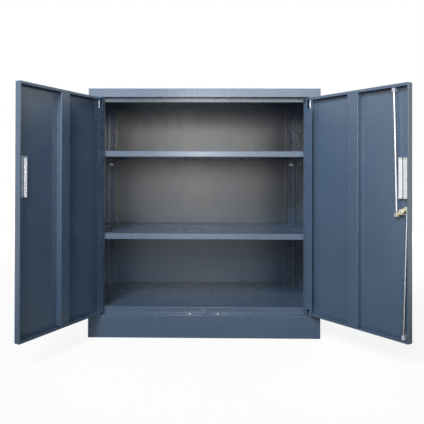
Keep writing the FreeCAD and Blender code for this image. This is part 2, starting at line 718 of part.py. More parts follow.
def pin_plate(flip):
    """The plate that doubles the door's bottom where the lower pin is riveted."""
    end = "bracket_start + bracket_width"
    plate = block("bracket_start", end, "skin_in", "lip_in - bracket_gap",
                  "pin_plate_low", "pin_plate_low + bracket_gauge", flip)
    hole = round_up(*ON_AXIS, "pin_plate_low - overrun", "pin_plate_low + overrun",
                    "pin_diameter + 2 * bolt_play")
    hang("SIDE_pin_plate", flip, without(plate, hole))


def lower_pin(flip):
    """The fixed lower hinge pin; its shoulder carries the door on the bush."""
    crown = "pin_plate_low + bracket_gauge + pin_grip - pin_radius"
    shaft = round_up(*ON_AXIS, "plinth_height - pin_reach", crown, "pin_diameter")
    dome = ball(crown, "pin_diameter")
    shoulder = round_up(*ON_AXIS, "plinth_height + bush_flange_height + pin_shoulder_gap",
                        "door_low", "pin_shoulder_diameter")
    hang("SIDE_lower_pin", flip, joined(shaft, dome, shoulder))


def handle(flip):
    """A flush pull: a cup through the door with a rim that overhangs one side."""
    cup = block("handle_start", "handle_out", "face", "handle_plane", "handle_rise", "handle_high", flip)
    rim = block("handle_start - handle_rim", "handle_out + handle_rim",
                "face - handle_rim_height", "face",
                "handle_rise - handle_rim", "handle_high + handle_rim", flip)
    low, high = "handle_rise + handle_wall", "handle_high - handle_wall"
    pocket = block("handle_start + handle_wall", "handle_out - handle_wall",
                   "face", "handle_plane - handle_back", low, high, flip)
    mouth = block("handle_start + handle_wall + handle_grip", "handle_out - handle_wall",
                  "face - overrun", "face + gauge", low, high, flip)
    middle = "handle_start + handle_groove_place"
    groove = block(middle + " - handle_groove_width / 2", middle + " + handle_groove_width / 2",
                   "handle_plane - handle_groove_depth", "handle_plane + overrun",
                   "handle_rise + handle_groove_end", "handle_high - handle_groove_end", flip)
    hang("SIDE_handle", flip, without(joined(cup, rim), pocket, mouth, groove))


# Lock and locking rods, all on the right door

RIGHT = -1


def lock_round(y0, y1, diameter):
    return round_in("lock_s", y0, y1, "lock_height", diameter, RIGHT)


def lock_square(size, y0, y1):
    half = "(%s) / 2" % size
    return block("lock_s - " + half, "lock_s + " + half, y0, y1,
                 "lock_height - " + half, "lock_height + " + half, RIGHT)


def lock_body():
    rim = lock_round("face - lock_rim_height", "face", "lock_rim_diameter")
    tube = lock_round("face", "face + lock_body_length", "lock_body_diameter")
    bore = lock_round("face - lock_rim_height - overrun", "face + lock_body_length + overrun",
                      "plug_diameter + 2 * plug_play")
    hang("lock_body", RIGHT, without(joined(rim, tube), bore))


def lock_nut():
    hexagon = aim(add("Part::Prism"), SIDEWAYS, -90)
    hexagon.Polygon = 6
    bind(hexagon, Circumradius="lock_nut_diameter / 2", Height="lock_nut_height",
         Base_x="-lock_s", Base_y="skin_in", Base_z="lock_height")
    hole = lock_round("face", "skin_in + lock_nut_height + overrun", "lock_body_diameter + 2 * lock_play")
    hang("lock_nut", RIGHT, without(hexagon, hole))


def lock_plug():
    """The turning plug: keyway in front, drive square and screw hole behind."""
    barrel = lock_round("face - lock_rim_height", "cam_plane", "plug_diameter")
    square = lock_square("plug_square", "cam_plane", "cam_plane + plug_square_height")
    keyway = block("lock_s - keyway_width / 2", "lock_s + keyway_width / 2",
                   "face - lock_rim_height - overrun", "face - lock_rim_height + keyway_depth",
                   "lock_height - keyway_height / 2", "lock_height + keyway_height / 2", RIGHT)
    hole = lock_round("cam_plane + cam_gauge - screw_length - 2 * screw_play", "cam_plane + overrun",
                      "screw_diameter + 2 * screw_play")
    hang("lock_plug", RIGHT, without(joined(barrel, square), keyway, hole))


def on_cam(thing):
    """Turn a piece with the cam's arms, which slope in the unlocked place."""
    aim(thing, FORWARD)
    return bind(thing, Base_x="-lock_s", Base_z="lock_height", Turn="cam_turn_angle / 2")


def lock_cam():
    """The two-armed cam: one arm drives the upper rod, the other the lower."""
    y0, y1 = "cam_plane", "cam_plane + cam_gauge"
    arm = block("-cam_radius", "cam_radius", y0, y1, "-cam_arm_width / 2", "cam_arm_width / 2")
    ends = [round_in("%d * cam_radius" % way, y0, y1, ZERO, "cam_arm_width") for way in (-1, 1)]
    hub = round_in(ZERO, y0, y1, ZERO, "cam_hub_diameter")
    holes = [round_in("%d * cam_radius" % way, y0 + " - overrun", y1 + " + overrun",
                      ZERO, "stud_diameter") for way in (-1, 1)]
    plate = on_cam(without(joined(arm, hub, *ends), *holes))
    drive = lock_square("plug_square + 2 * cam_play", "cam_plane - overrun", "cam_plane + overrun")
    hang("lock_cam", RIGHT, without(plate, drive))


def cam_studs():
    """Riveted studs in the arms' ends, standing down into the rods' slots."""
    studs = []
    for way in (-1, 1):
        place = "%d * cam_radius" % way
        shank = round_in(place, "rod_plane", "cam_plane + cam_gauge", ZERO, "stud_diameter")
        head = round_in(place, "cam_plane + cam_gauge", "cam_plane + cam_gauge + stud_head_height",
                        ZERO, "stud_head_diameter")
        studs.append(on_cam(joined(shank, head)))
    hang("cam_studs", RIGHT, group(*studs))


def cam_screw():
    top = "cam_plane + cam_gauge"
    shank = lock_round(top + " - screw_length", top, "screw_diameter")
    head = lock_round(top, top + " + screw_head_height", "screw_head_diameter")
    slot = block("lock_s - screw_head_diameter", "lock_s + screw_head_diameter",
                 top + " + screw_head_height / 2", top + " + screw_head_height + overrun",
                 "lock_height - screw_slot_width / 2", "lock_height + screw_slot_width / 2", RIGHT)
    hang("cam_screw", RIGHT, without(joined(shank, head), slot))


def along_rod(thing, which):
    """Place a piece on a rod's eye, with Z along the leaning rod."""
    aim(thing, FORWARD)
    return bind(thing, Base_x="-(%s_eye_s)" % which, Base_y="rod_plane",
                Base_z="%s_eye_z" % which, Turn="%s_lean" % which)


def locking_rod(which):
    """A round rod with a flat end, slotted across for its cam stud."""
    half = "eye_width / 2"
    eye = block("-" + half, half, "eye_lift", "eye_lift + eye_gauge", "-eye_low", "eye_high")
    half_slot = "(slot_travel / 2 + stud_diameter / 2 + eye_play)"
    half_high = "(stud_diameter / 2 + eye_play)"
    slot = block("-" + half_slot, half_slot, "eye_lift - overrun", "eye_lift + eye_gauge + overrun",
                 "-" + half_high, half_high)
    rod = round_up(*ON_AXIS, "rod_start", which + "_rod_length", "rod_diameter")
    hang(which + "_rod", RIGHT, group(along_rod(joined(without(eye, slot), rod), which)))


def rod_tool(which, play):
    """A bar along a rod's axis, wider than the rod, to cut its way."""
    bar = round_up(*ON_AXIS, which + "_rod_length / 2",
                   which + "_rod_length + 4 * overrun", "rod_diameter + 2 * " + play)
    return along_rod(group(bar), which)


def rod_guide(which):
    place, middle = "%s_guide_s" % which, "%s_guide_z" % which
    body = block(place + " - guide_width / 2", place + " + guide_width / 2",
                 "skin_in", "skin_in + guide_thickness",
                 middle + " - guide_height / 2", middle + " + guide_height / 2", RIGHT)
    hang(which + "_rod_guide", RIGHT, without(body, rod_tool(which, "guide_play")))


# Build

for side_name, side in SIDES:
    side_panel(side_name, side)
back_panel()
top_panel()
top_stop_rail()
plinth()
floor_pan()
for side_name, side in SIDES:
    upright("rear_upright_" + side_name, side, "rear_upright_face", "upright_depth", False)
    upright("front_upright_" + side_name, side, "front_upright_face", "front_upright_depth", True)
for shelf_name, shelf_slots in (("lower", "lower_shelf_count"), ("upper", "upper_shelf_count")):
    shelf("shelf_" + shelf_name, shelf_slots)
    shelf_clips("shelf_clips_" + shelf_name, shelf_slots)
hinge_bushes()
door_rests()
centre_buffer()

for door_flip in (1, -1):
    cuts = door_cuts(door_flip)
    if door_flip == RIGHT:
        cuts.append(lock_round("face - overrun", "skin_in + overrun", "lock_body_diameter + 2 * lock_play"))
        cuts += [rod_tool(which, "rod_hole_play") for which in ("upper", "lower")]
    hang("SIDE_door_panel", door_flip, without(door_panel(door_flip), *cuts))
    for make in (door_stiffener, bolt_bracket, hinge_bolt, bolt_spring, pin_plate, lower_pin, handle):
        make(door_flip)

for make in (lock_body, lock_nut, lock_plug, lock_cam, cam_studs, cam_screw):
    make()
for which_rod in ("upper", "lower"):
    locking_rod(which_rod)
    rod_guide(which_rod)

doc.recompute()

# Check, then write one file for each sub-part

for item in doc.Objects:
    if "Invalid" in item.State or "Error" in item.State:
        raise RuntimeError("%s (%s) did not build: %s" % (item.Name, item.Label, item.State))
for item in sub_parts:
    if item.Shape.isNull() or not item.Shape.isValid() or not item.Shape.Solids:
        raise RuntimeError("%s has no valid solid" % item.Label)

os.makedirs("parts", exist_ok=True)
for item in sub_parts:
    item.Shape.exportStep("parts/%s.step" % item.Label)
print("%d sub-parts, %d solids" % (len(sub_parts), sum(len(item.Shape.Solids) for item in sub_parts)))
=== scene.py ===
import json
import math

import bmesh
import bpy
from mathutils import Matrix, Vector


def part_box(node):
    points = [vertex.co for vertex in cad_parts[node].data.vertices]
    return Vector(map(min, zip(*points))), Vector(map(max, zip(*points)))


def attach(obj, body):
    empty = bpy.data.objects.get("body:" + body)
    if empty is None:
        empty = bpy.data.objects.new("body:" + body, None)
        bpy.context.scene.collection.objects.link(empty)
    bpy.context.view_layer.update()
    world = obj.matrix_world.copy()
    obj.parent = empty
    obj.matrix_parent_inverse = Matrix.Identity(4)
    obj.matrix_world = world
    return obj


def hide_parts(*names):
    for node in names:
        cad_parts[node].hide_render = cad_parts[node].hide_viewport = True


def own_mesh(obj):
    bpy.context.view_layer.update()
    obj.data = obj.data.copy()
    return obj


# The looks of a two-door steel tool cabinet: rolled sheet edges, powder coat,
# zinc, brass, satin aluminium and nylon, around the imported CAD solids.
# Metres throughout, in the CAD's frame.

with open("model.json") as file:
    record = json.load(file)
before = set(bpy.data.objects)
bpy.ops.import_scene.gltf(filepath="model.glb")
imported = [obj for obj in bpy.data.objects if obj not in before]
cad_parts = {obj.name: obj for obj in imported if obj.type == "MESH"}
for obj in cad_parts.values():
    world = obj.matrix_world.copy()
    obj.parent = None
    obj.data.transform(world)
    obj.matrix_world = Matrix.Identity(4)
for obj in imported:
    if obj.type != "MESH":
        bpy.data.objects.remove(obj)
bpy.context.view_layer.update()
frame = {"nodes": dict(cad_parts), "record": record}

MM = 0.001
UP = (0.0, 0.0, 1.0)
SIDES = ("left", "right")

slot_of = {row["node"]: row["material_slot"] for row in frame["record"]["subparts"]}
body_of = {node: body for body, nodes in frame["record"]["behaviour"]["bodies"].items()
           for node in nodes}


# Node trees

WHITE = (1.0, 1.0, 1.0, 1.0)
# The part of a noise's range that most of it lies in
NOISE_SPAN = (0.3, 0.7)


def plug(tree, made, label, value):
    """Set one input, given by its name or as "slot 3", to a value, or link it from a socket."""
    by_number = label.startswith("slot ")
    socket = made.inputs[int(label.removeprefix("slot ")) if by_number else label]
    if isinstance(value, bpy.types.NodeSocket):
        tree.links.new(value, socket)
    else:
        socket.default_value = value


def feed(tree, made, **inputs):
    """Set or link several inputs of a node, their names written with underscores."""
    for label, value in inputs.items():
        plug(tree, made, label.replace("_", " "), value)


def put(tree, kind, settings=None, **inputs):
    """Add a node, set its properties, then set or link its inputs."""
    made = tree.nodes.new(kind)
    for name, value in (settings or {}).items():
        setattr(made, name, value)
    feed(tree, made, **inputs)
    return made


def maths(tree, operation, first, second=0.0):
    return put(tree, "ShaderNodeMath", {"operation": operation}, slot_0=first,
               slot_1=second).outputs[0]


def product(tree, first, *others):
    """All the given masks multiplied together."""
    for other in others:
        first = maths(tree, "MULTIPLY", first, other)
    return first


def vector_maths(tree, operation, output, first, second=(0.0, 0.0, 0.0)):
    return put(tree, "ShaderNodeVectorMath", {"operation": operation}, slot_0=first,
               slot_1=second).outputs[output]


def axes_of(tree, place):
    return put(tree, "ShaderNodeSeparateXYZ", Vector=place).outputs


def noise(tree, place, scale, detail, rough=0.5):
    return put(tree, "ShaderNodeTexNoise", Vector=place, Scale=scale, Detail=detail,
               Roughness=rough).outputs["Fac"]


def ranged(tree, value, low, high, to_low=0.0, to_high=1.0):
    """A value moved from one range into another, softly at the ends and held beyond them."""
    return put(tree, "ShaderNodeMapRange", {"interpolation_type": "SMOOTHSTEP"}, Value=value,
               From_Min=low, From_Max=high, To_Min=to_low, To_Max=to_high).outputs["Result"]


def blended(tree, factor, first, second):
    """One colour shading into another; each is a socket or plain red, green and blue."""
    made = put(tree, "ShaderNodeMix", {"data_type": "RGBA"}, slot_0=factor)
    for label, colour in (("slot 6", first), ("slot 7", second)):
        plug(tree, made, label, (*colour, 1.0) if isinstance(colour, tuple) else colour)
    return made.outputs[2]


def bumped(tree, height, strength, distance, under=None):
    """Relief from a mask, on top of another relief where one is given."""
    made = put(tree, "ShaderNodeBump", Height=height, Strength=strength, Distance=distance)
    if under is not None:
        plug(tree, made, "Normal", under)
    return made.outputs["Normal"]


def texture_group(name, settings, outputs):
    """A node group that turns a place into masks; gives it with its two ends' sockets."""
    tree = bpy.data.node_groups.new(name, "ShaderNodeTree")
    tree.interface.new_socket(name="Place", in_out="INPUT", socket_type="NodeSocketVector")
    for label, value in settings.items():
        kind = "NodeSocketVector" if isinstance(value, tuple) else "NodeSocketFloat"
        socket = tree.interface.new_socket(name=label, in_out="INPUT", socket_type=kind)
        socket.default_value = value
    for label in outputs:
        tree.interface.new_socket(name=label, in_out="OUTPUT", socket_type="NodeSocketFloat")
    given = tree.nodes.new("NodeGroupInput").outputs
    leave = tree.nodes.new("NodeGroupOutput")
    return tree, given, leave


def coat_texture_group():
    """Powder coat on thin sheet: orange peel, long waves of the sheet, and handling marks."""
    tree, given, leave = texture_group(
        "Powder coat texture", {"Peel size": 600.0, "Wave size": 3.0, "Mark size": 7.0},
        ("Peel", "Waves", "Marks"))
    marks = noise(tree, given["Place"], given["Mark size"], detail=5.0, rough=0.62)
    feed(tree, leave, Peel=noise(tree, given["Place"], given["Peel size"], detail=1.0),
         Waves=noise(tree, given["Place"], given["Wave size"], detail=1.0, rough=0.35),
         Marks=ranged(tree, marks, 0.38, 0.72))
    return tree


def drawn_metal_group():
    """Fine lines along one direction, and soft blotches, for plated and drawn metal."""
    tree, given, leave = texture_group(
        "Drawn metal", {"Line spacing": (1.0, 1.0, 1.0), "Line size": 900.0, "Blotch size": 60.0},
        ("Lines", "Blotches"))
    spread = vector_maths(tree, "MULTIPLY", "Vector", given["Place"], given["Line spacing"])
    blotches = noise(tree, given["Place"], given["Blotch size"], detail=3.0)
    feed(tree, leave, Lines=noise(tree, spread, given["Line size"], detail=2.0),
         Blotches=ranged(tree, blotches, *NOISE_SPAN))
    return tree


coat_texture = coat_texture_group()
drawn_metal = drawn_metal_group()


# Materials

PAINT_BLUE = (0.060, 0.100, 0.162)
PAINT_IOR, BACK_IOR = 1.78, 1.8

# Relief: how high the sheets' long waves, the coats' orange peel and the metals' lines are, and
# how strongly the last two show
PANEL_WAVE, BACK_WAVE = 0.7 * MM, 1.2 * MM
PEEL_HEIGHT, LINE_HEIGHT = 0.03 * MM, 0.01 * MM
PAINT_PEEL, MOULDED_PEEL = 0.12, 0.3
PLATED_LINES, SATIN_LINES = 0.5, 0.1

# How closely a metal's lines stand along X, Y and Z: where it is small, they run that way
NO_LINES = (1.0, 1.0, 1.0)
UPRIGHT_LINES = (1.0, 1.0, 0.1)
LONG_UPRIGHT_LINES = (1.0, 1.0, 0.02)

# The back's inside: the heights over which its colour turns greyer as a painted reflection, the
# painted shade behind the uprights, and how far beneath them that painted shade starts
BACK_TURNS = (0.12, 0.62)
PAINTED_SHADE_BEHIND_UPRIGHTS = (0.008, 0.009, 0.011)
SHADE_INSET = 2.0 * MM

# The dusty streaks on it, with a warm painted sheen that stands in for the front lamp's
# reflection:
# how its streaks are stretched, which part of their noise they are, over which heights it sets in,
# and from where to where it thins out to the right, to what share
STREAK_STRETCH = (1.0, 1.0, 0.45)
STREAK_LEVELS = (0.44, 0.66)
SHEEN_HEIGHTS = (0.35, 0.85)
SHEEN_ACROSS = (-0.1, 0.35)
SHEEN_SHARES = (1.0, 0.3)

# Shelf clips: how high the band at the foot is that is painted pale as lit, and the colours of
# that painted light, of the rest, painted dark as the shade under the shelf, and of its blotches
LIT_FOOT_HEIGHT = 10.0 * MM
FOOT_PAINTED_LIGHT, CLIP_PAINTED_SHADE, CLIP_SHADED_BLOTCH = (0.96, 0.97, 0.98), (0.16, 0.17, 0.18), (0.12, 0.125, 0.135)

# Handles: their metal, its blotches and the groove's shade, and how far the shade's edge runs
# in from the groove's sides, and out over them
SATIN, SATIN_BLOTCH, GROOVE_SHADE = (0.90, 0.90, 0.92), (0.84, 0.85, 0.88), (0.10, 0.11, 0.13)
SHADE_IN, SHADE_OUT = 0.4 * MM, 0.2 * MM


def textured(name, texture, **sizes):
    """A material with its shader, the object's own place, and the masks of a texture group."""
    material = bpy.data.materials.new(name)
    material.use_nodes = True
    tree = material.node_tree
    tree.nodes.clear()
    place = tree.nodes.new("ShaderNodeTexCoord").outputs["Object"]
    masks = put(tree, "ShaderNodeGroup", {"node_tree": texture}, Place=place, **sizes).outputs
    shader = tree.nodes.new("ShaderNodeBsdfPrincipled")
    put(tree, "ShaderNodeOutputMaterial", Surface=shader.outputs["BSDF"])
    return material, tree, shader, place, masks


def coat_relief(tree, masks, wave_height):
    """The orange peel of a coat, on top of its sheet's long waves."""
    waves = bumped(tree, masks["Waves"], 1.0, wave_height)
    return bumped(tree, masks["Peel"], PAINT_PEEL, PEEL_HEIGHT, waves)


def paint(name, colour, faded, roughness, rubbed):
    """Powder-coated sheet steel."""
    material, tree, shader, _, masks = textured(name, coat_texture, Wave_size=2.6)
    feed(tree, shader, IOR=PAINT_IOR, Base_Color=blended(tree, masks["Marks"], colour, faded),
         Roughness=ranged(tree, masks["Marks"], 0.0, 1.0, roughness, rubbed),
         Normal=coat_relief(tree, masks, PANEL_WAVE))
    return material


def back_coat(name, low, high, dust_and_sheen, roughness):
    """The back's coat: inside it is blue low down and greyer higher up, a painted reflection of
    the front lamp, with dusty streaks carrying a warm painted sheen high up and to the left, and
    behind the uprights it is painted dark as their shade. Outside it is as the rest of the case."""
    material, tree, shader, place, masks = textured(name, coat_texture)
    axes = axes_of(tree, place)
    across, height = axes["X"], axes["Z"]
    # Blue low down, greyer higher up: the grey is a painted reflection of the front lamp
    plain = blended(tree, ranged(tree, height, *BACK_TURNS), low, high)
    drawn_out = put(tree, "ShaderNodeMapping", Vector=place, Scale=STREAK_STRETCH)
    streaks = noise(tree, drawn_out.outputs["Vector"], scale=6.0, detail=4.0, rough=0.55)
    # Dusty streaks, made strongest high up and to the left as a painted sheen of the front lamp's
    # reflection
    dust_and_sheen_mask = product(tree, ranged(tree, streaks, *STREAK_LEVELS),
                    ranged(tree, height, *SHEEN_HEIGHTS),
                    ranged(tree, across, *SHEEN_ACROSS, *SHEEN_SHARES))
    with_dust_and_sheen = blended(tree, dust_and_sheen_mask, plain, dust_and_sheen)
    # Behind the uprights the back is painted dark: painted shade, seen through their slots
    inner_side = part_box("rear_upright_right")[0].x
    covered = maths(tree, "GREATER_THAN", maths(tree, "ABSOLUTE", across), inner_side + SHADE_INSET)
    inside = blended(tree, covered, with_dust_and_sheen, PAINTED_SHADE_BEHIND_UPRIGHTS)
    low_corner, high_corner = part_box("back_panel")
    outside = maths(tree, "GREATER_THAN", axes["Y"], (low_corner.y + high_corner.y) / 2.0)
    feed(tree, shader, IOR=BACK_IOR, Base_Color=blended(tree, outside, inside, PAINT_BLUE),
         Roughness=roughness, Normal=coat_relief(tree, masks, BACK_WAVE))
    return material


def moulded(name, colour, shade, roughness):
    """Plain moulded nylon or rubber."""
    material, tree, shader, _, masks = textured(name, coat_texture, Mark_size=90.0,
                                                Peel_size=1500.0)
    feed(tree, shader, Base_Color=blended(tree, masks["Marks"], colour, shade),
         Roughness=ranged(tree, masks["Marks"], 0.0, 1.0, roughness, roughness + 0.1),
         Normal=bumped(tree, masks["Peel"], MOULDED_PEEL, PEEL_HEIGHT))
    return material


def plated(name, bright, dull, low_rough, high_rough, spacing):
    """Plated metal, with soft blotches and fine lines."""
    material, tree, shader, _, masks = textured(name, drawn_metal, Line_spacing=spacing)
    feed(tree, shader, Metallic=1.0, Base_Color=blended(tree, masks["Blotches"], bright, dull),
         Roughness=ranged(tree, masks["Lines"], *NOISE_SPAN, low_rough, high_rough),
         Normal=bumped(tree, masks["Lines"], PLATED_LINES, LINE_HEIGHT))
    return material


def clip_zinc(node):
    """Zinc on the shelf clips, painted dark as the shade under the shelf, and painted pale and
    matt on the foot that hooks into the slots, as painted light where the lamp reaches it.
    """
    material, tree, shader, place, masks = textured("zinc with painted light and shade of " + node, drawn_metal)
    foot_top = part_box(node)[0].z + LIT_FOOT_HEIGHT
    painted_lit_foot = ranged(tree, axes_of(tree, place)["Z"], foot_top - MM, foot_top + MM, 1.0, 0.0)
    # The clip painted dark as the shelf's shade; its foot painted pale as lit
    dull = blended(tree, masks["Blotches"], CLIP_PAINTED_SHADE, CLIP_SHADED_BLOTCH)
    feed(tree, shader, Metallic=1.0, Base_Color=blended(tree, painted_lit_foot, dull, FOOT_PAINTED_LIGHT),
         Roughness=ranged(tree, painted_lit_foot, 0.0, 1.0, 0.22, 0.55),
         Normal=bumped(tree, masks["Lines"], PLATED_LINES, LINE_HEIGHT))
    return material


def grooved_aluminium(side, across, start, end):
    """Satin aluminium, dark in the groove of a handle's back, from start to end across it."""
    material, tree, shader, place, masks = textured(
        "satin aluminium of the " + side + " handle", drawn_metal, Line_spacing=LONG_UPRIGHT_LINES)
    along = vector_maths(tree, "DOT_PRODUCT", "Value", place, across)
    off_middle = maths(tree, "ABSOLUTE", maths(tree, "SUBTRACT", along, (start + end) / 2.0))
    half = (end - start) / 2.0
    groove = ranged(tree, off_middle, half - SHADE_IN, half + SHADE_OUT, 1.0, 0.0)
    metal = blended(tree, masks["Blotches"], SATIN, SATIN_BLOTCH)
    feed(tree, shader, Metallic=1.0, Base_Color=blended(tree, groove, metal, GROOVE_SHADE),
         Roughness=ranged(tree, masks["Lines"], *NOISE_SPAN, 0.19, 0.23),
         Normal=bumped(tree, masks["Lines"], SATIN_LINES, LINE_HEIGHT))
    return material


cabinet_paint = paint("cabinet paint", PAINT_BLUE, (0.065, 0.106, 0.168), 0.27, 0.30)
# Its greyer top and warm sheen are painted reflection, its dark strip behind the uprights painted
# shade
back_coat_painted_light = back_coat("back coat with painted reflection and shade", low=(0.018, 0.066, 0.132), high=(0.058, 0.070, 0.086),
                      dust_and_sheen=(0.190, 0.172, 0.142), roughness=0.35)

# Name, colour, colour in the blotches, least and most roughness, lines
zinc = plated("bright zinc", (0.90, 0.93, 0.97), (0.84, 0.87, 0.92), 0.26, 0.36, UPRIGHT_LINES)
dull_zinc = plated("dull zinc", (0.50, 0.52, 0.55), (0.40, 0.42, 0.46), 0.34, 0.46, UPRIGHT_LINES)
chrome = plated("chrome", (0.78, 0.79, 0.81), (0.74, 0.75, 0.77), 0.06, 0.12, NO_LINES)
brass = plated("yellow zinc", (0.90, 0.82, 0.52), (0.84, 0.72, 0.40), 0.14, 0.26, NO_LINES)

# Name, colour, colour in the marks, least roughness
nylon = moulded("white nylon", (0.95, 0.96, 0.97), (0.90, 0.91, 0.92), 0.22)
guide_nylon = moulded("grey nylon", (0.48, 0.52, 0.62), (0.42, 0.46, 0.56), 0.28)
rubber_grey = moulded("grey buffer", (0.12, 0.15, 0.20), (0.10, 0.13, 0.18), 0.5)

# The finish of each slot but handle_metal: form_handle gives each handle its own aluminium
FINISH_OF = {"cabinet_paint": cabinet_paint, "back_paint": back_coat_painted_light, "zinc_steel": zinc,
             "lock_chrome": chrome, "cam_brass": brass, "white_nylon": nylon,
             "grey_rubber": rubber_grey}
finish = {node: FINISH_OF[slot] for node, slot in slot_of.items() if slot in FINISH_OF}
for node in ("left_lower_pin", "right_lower_pin"):
    finish[node] = dull_zinc
for node in ("upper_rod_guide", "lower_rod_guide"):
    finish[node] = guide_nylon
for node in ("shelf_clips_lower", "shelf_clips_upper"):
    finish[node] = clip_zinc(node)
for node, material in finish.items():
    frame["nodes"][node].data.materials.clear()
    frame["nodes"][node].data.materials.append(material)


# Modelling: each piece starts from its merged CAD solid, and gets rolled folds and eased edges

MERGE_DISTANCE = 0.01 * MM
FLAT_ANGLE = math.radians(0.4)
SHARP_ANGLE = math.radians(35.0)
SOFT_ANGLE = math.radians(38.0)
# The room that a face has to leave beside an edge, for each unit of the edge's radius
ROOM_FOR_RADIUS = 2.2
ROUND_STEPS, SMALL_STEPS = 3, 2


def take_up(piece):
    """Make one piece the only one selected, and the active one."""
    bpy.ops.object.select_all(action="DESELECT")
    piece.select_set(True)
    bpy.context.view_layer.objects.active = piece


def open_mesh(piece, select_by):
    """Go into one piece's mesh, with nothing selected there."""
    take_up(piece)
    bpy.ops.object.mode_set(mode="EDIT")
    bpy.ops.mesh.select_mode(type=select_by)
    bpy.ops.mesh.select_all(action="DESELECT")


def close_mesh():
    bpy.ops.mesh.select_all(action="DESELECT")
    bpy.ops.object.mode_set(mode="OBJECT")


def pick(piece, kind, wanted):
    """Select the wanted faces, edges or verts of the open mesh, and give how many they are."""
    form = bmesh.from_edit_mesh(piece.data)
    chosen = [part for part in getattr(form, kind) if wanted(part)]
    for part in chosen:
        part.select_set(True)
    bmesh.update_edit_mesh(piece.data)
    return len(chosen)


def merged_copy(node):
    """A copy of a node's mesh in its place, its triangles merged into whole faces."""
    piece = bpy.data.objects.new(node + "_formed", frame["nodes"][node].data.copy())
    bpy.context.scene.collection.objects.link(piece)
    open_mesh(piece, "VERT")
    bpy.ops.mesh.select_all(action="SELECT")
    bpy.ops.mesh.remove_doubles(threshold=MERGE_DISTANCE)
    bpy.ops.mesh.dissolve_limited(angle_limit=FLAT_ANGLE)
    close_mesh()
    return piece


def room_beside(edge, face):
    """How far a face runs away from one of its edges; the thickness, on a sheet's cut edge."""
    start = edge.verts[0].co
    along = (edge.verts[1].co - start).normalized()
    reach = max(((v.co - start) - (v.co - start).dot(along) * along).length for v in face.verts)
    if len(face.verts) <= 4:
        return reach
    return min(reach, 2.0 * face.calc_area() / face.calc_perimeter())


def ease_edges(piece, radius, convex, steps):
    """Round the edges, convex or concave, whose two faces are wide enough for that radius."""
    def fits(edge):
        return (len(edge.link_faces) == 2 and edge.is_convex == convex
                and edge.calc_face_angle(0.0) >= SHARP_ANGLE
                and min(room_beside(edge, face) for face in edge.link_faces)
                >= ROOM_FOR_RADIUS * radius)

    open_mesh(piece, "EDGE")
    if pick(piece, "edges", fits):
        bpy.ops.mesh.bevel(offset_type="OFFSET", offset=radius, segments=steps, profile=0.5,
                           affect="EDGES", clamp_overlap=False, loop_slide=True)
        bpy.ops.mesh.select_all(action="SELECT")
        bpy.ops.mesh.remove_doubles(threshold=MERGE_DISTANCE)
    close_mesh()


def soft_groups(vert):
    """The corners round one vertex, in groups that blend into each other over soft edges."""
    left = list(vert.link_loops)
    while left:
        group = [left.pop()]
        for loop in group:
            for edge in (loop.edge, loop.link_loop_prev.edge):
                if len(edge.link_faces) == 2 and edge.calc_face_angle(0.0) < SOFT_ANGLE:
                    joined = [other for other in left if edge in other.face.edges]
                    group += joined
                    left = [other for other in left if other not in joined]
        yield group


def smooth_off(piece):
    """Smooth shading over the rounded edges; beside them each flat face keeps its own normal."""
    take_up(piece)
    bpy.ops.object.shade_smooth_by_angle(angle=SOFT_ANGLE)
    form = bmesh.new()
    form.from_mesh(piece.data)
    form.normal_update()
    normals = [UP] * len(piece.data.loops)
    for vert in form.verts:
        for group in soft_groups(vert):
            widest = max(loop.face.calc_area() for loop in group)
            turned = Vector()
            for loop in group:
                turned += loop.face.normal * (loop.face.calc_area() / widest) ** 3
            for loop in group:
                normals[loop.index] = turned.normalized()
    form.free()
    piece.data.normals_split_custom_set(normals)


def hand_over(piece, *nodes):
    """Let a finished piece stand for its nodes, on their body and in their finish."""
    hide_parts(*nodes)
    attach(piece, body_of[nodes[0]])
    piece.data.materials.clear()
    piece.data.materials.append(finish[nodes[0]])


def form_piece(node, outer, inner):
    """Form one piece, given the radius of its folds or edges, and of its folds' inner side."""
    piece = merged_copy(node)
    ease_edges(piece, outer * MM, True, ROUND_STEPS)
    if inner:
        ease_edges(piece, inner * MM, False, SMALL_STEPS)
    smooth_off(piece)
    hand_over(piece, node)


# Node, outer radius of its folds or edges, inner radius of its folds (0: none), both in mm
FORMED = [
    ("side_panel_left", 1.8, 0.8), ("side_panel_right", 1.8, 0.8), ("top_panel", 1.8, 0.8),
    ("top_stop_rail", 1.6, 0.6), ("plinth", 1.8, 0.8), ("floor_pan", 1.8, 0.8),
    ("rear_upright_left", 2.2, 0.7), ("rear_upright_right", 2.2, 0.7),
    ("front_upright_left", 2.2, 0.7), ("front_upright_right", 2.2, 0.7),
    ("shelf_lower", 1.8, 0.8), ("shelf_upper", 1.8, 0.8),
    ("left_door_panel", 1.8, 0.8), ("right_door_panel", 1.8, 0.8),
    ("left_door_stiffener", 2.0, 1.0), ("right_door_stiffener", 2.0, 1.0),
    ("shelf_clips_lower", 1.6, 0.5), ("shelf_clips_upper", 1.6, 0.5),
    ("left_bolt_bracket", 1.6, 0.6), ("right_bolt_bracket", 1.6, 0.6),
    ("left_pin_plate", 0.3, 0.0), ("right_pin_plate", 0.3, 0.0),
    ("left_lower_pin", 0.4, 0.0), ("right_lower_pin", 0.4, 0.0),
    ("left_hinge_bolt", 0.4, 0.0), ("right_hinge_bolt", 0.4, 0.0),
    ("lock_body", 0.5, 0.0), ("lock_nut", 0.5, 0.0), ("lock_plug", 0.3, 0.0),
    ("lock_cam", 0.5, 0.0), ("cam_studs", 0.2, 0.0), ("cam_screw", 0.6, 0.0),
    ("upper_rod", 0.5, 0.0), ("lower_rod", 0.5, 0.0),
    ("upper_rod_guide", 1.2, 0.0), ("lower_rod_guide", 1.2, 0.0),
    ("hinge_bushes", 0.25, 0.0), ("door_rests", 0.5, 0.0), ("centre_buffer", 0.6, 0.0),
]

for row in FORMED:
    form_piece(*row)


